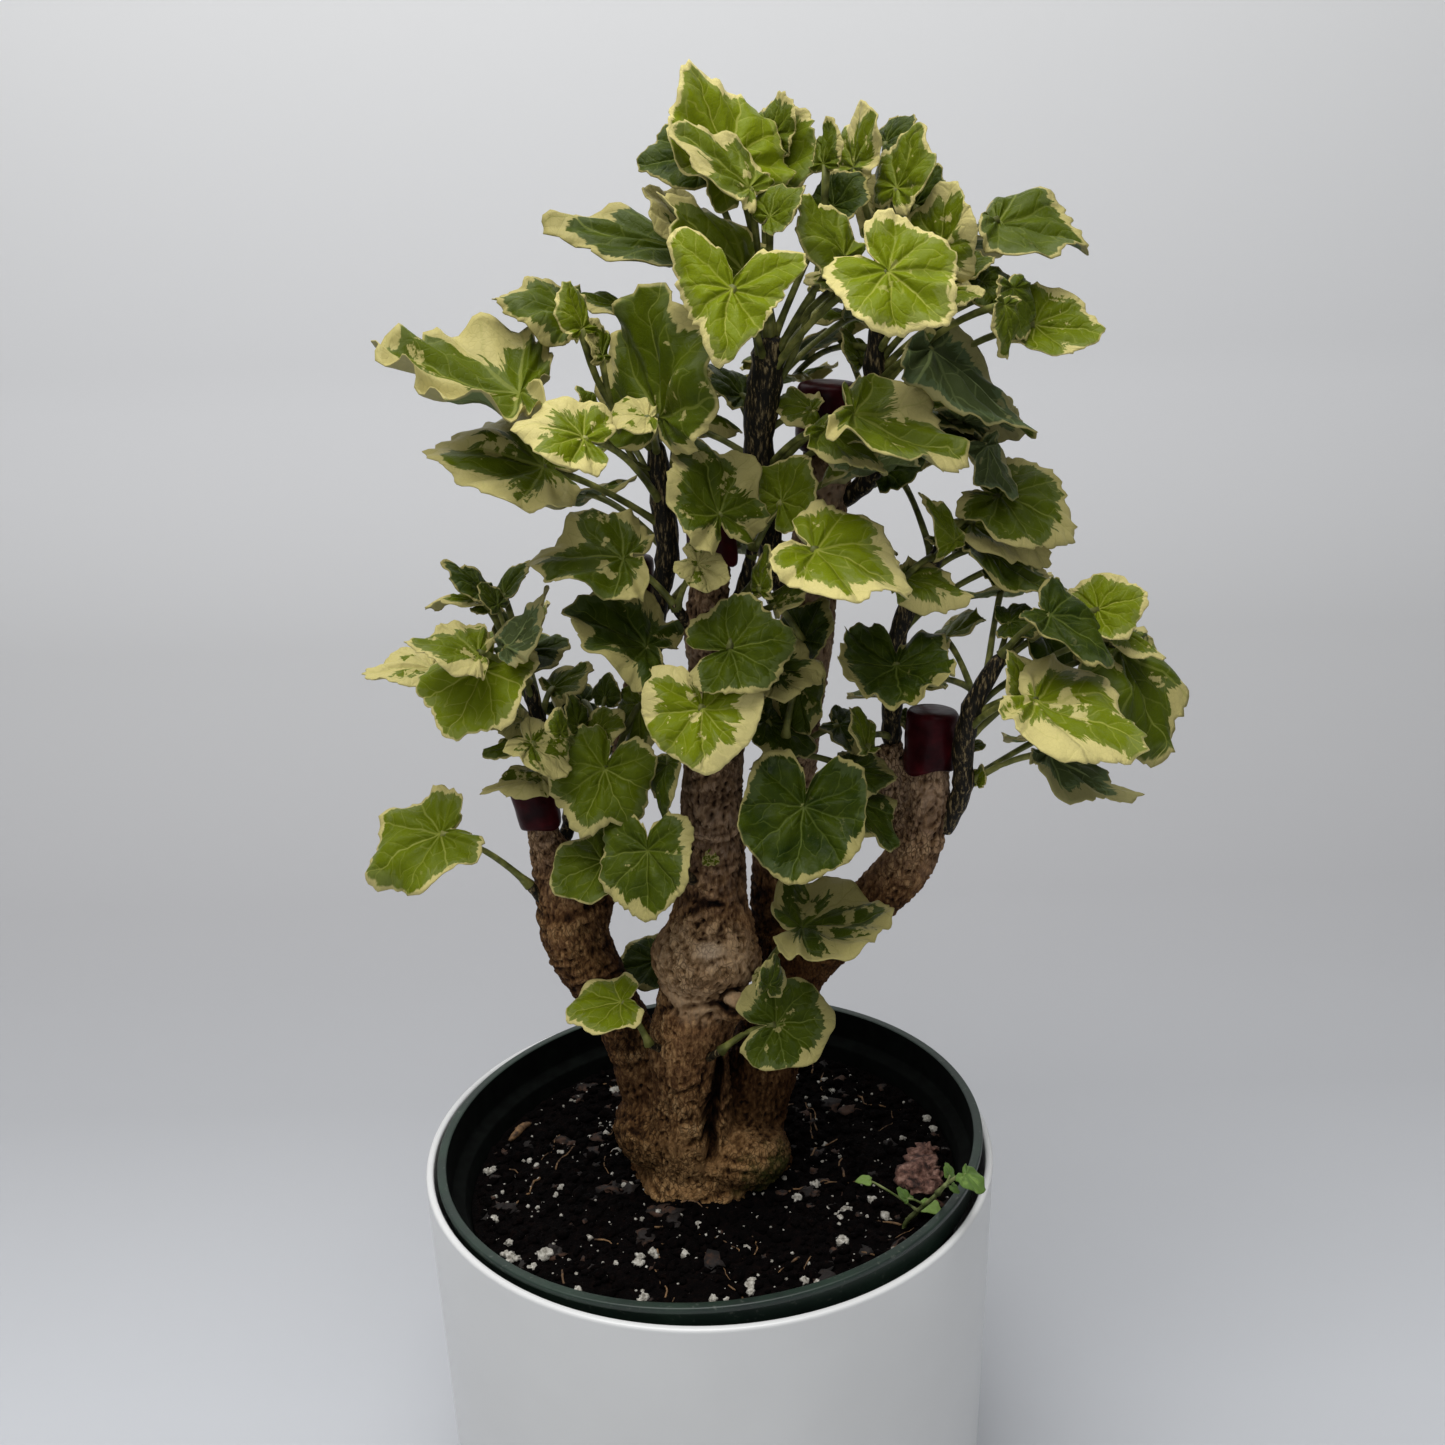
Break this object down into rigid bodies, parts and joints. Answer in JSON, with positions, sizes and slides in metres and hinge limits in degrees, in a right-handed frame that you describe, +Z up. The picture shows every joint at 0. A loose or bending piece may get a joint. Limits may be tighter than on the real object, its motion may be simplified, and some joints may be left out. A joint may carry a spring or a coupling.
{
  "type": "potted balfour aralia",
  "caption": "Variegated aralia with a stout forked trunk, wax-sealed cane ends and round toothed leaves, in a green nursery pot inside a white cover pot.",
  "frame": {"origin": "centre of the cover pot's flat base", "axes": "+Z up along the trunk, -Y towards the front as pictured, +X to the picture's right"},
  "size_m": [0.23, 0.171, 0.4229],
  "materials": {
    "cover_pot": "smooth white, soft sheen",
    "nursery_pot": "dark green, satin",
    "potting_soil": "damp peat and bark with white perlite",
    "trunk": "fissured tan bark",
    "wax": "glossy dark red grafting wax",
    "leaf": "green and cream variegated leaf, waxy sheen",
    "weed": "thin light green leaf"
  },
  "bodies": {
    "root": {"cover_pot": "cover_pot", "nursery_pot": "nursery_pot", "potting_soil": "potting_soil", "trunk": "trunk", "wax_cap_centre": "wax", "wax_cap_back": "wax", "wax_cap_right": "wax", "wax_cap_left": "wax", "wax_cap_left_back": "wax", "shoot_top": "leaf", "shoot_top_right": "leaf", "shoot_upper_left": "leaf", "shoot_left": "leaf", "shoot_right": "leaf", "shoot_mid_right": "leaf", "sprout_centre_top": "leaf", "sprout_centre_right": "leaf", "stalk_centre_left": "leaf", "sprout_centre_front": "leaf", "stalk_centre_low": "leaf", "stalk_left_far": "leaf", "stalk_left_near": "leaf", "sprout_left_back": "leaf", "stalk_right_low": "leaf", "stalk_front_low": "leaf", "stalk_left_low": "leaf", "stalk_left_behind": "leaf", "weed_seedling": "weed"}
  },
  "joints": []
}
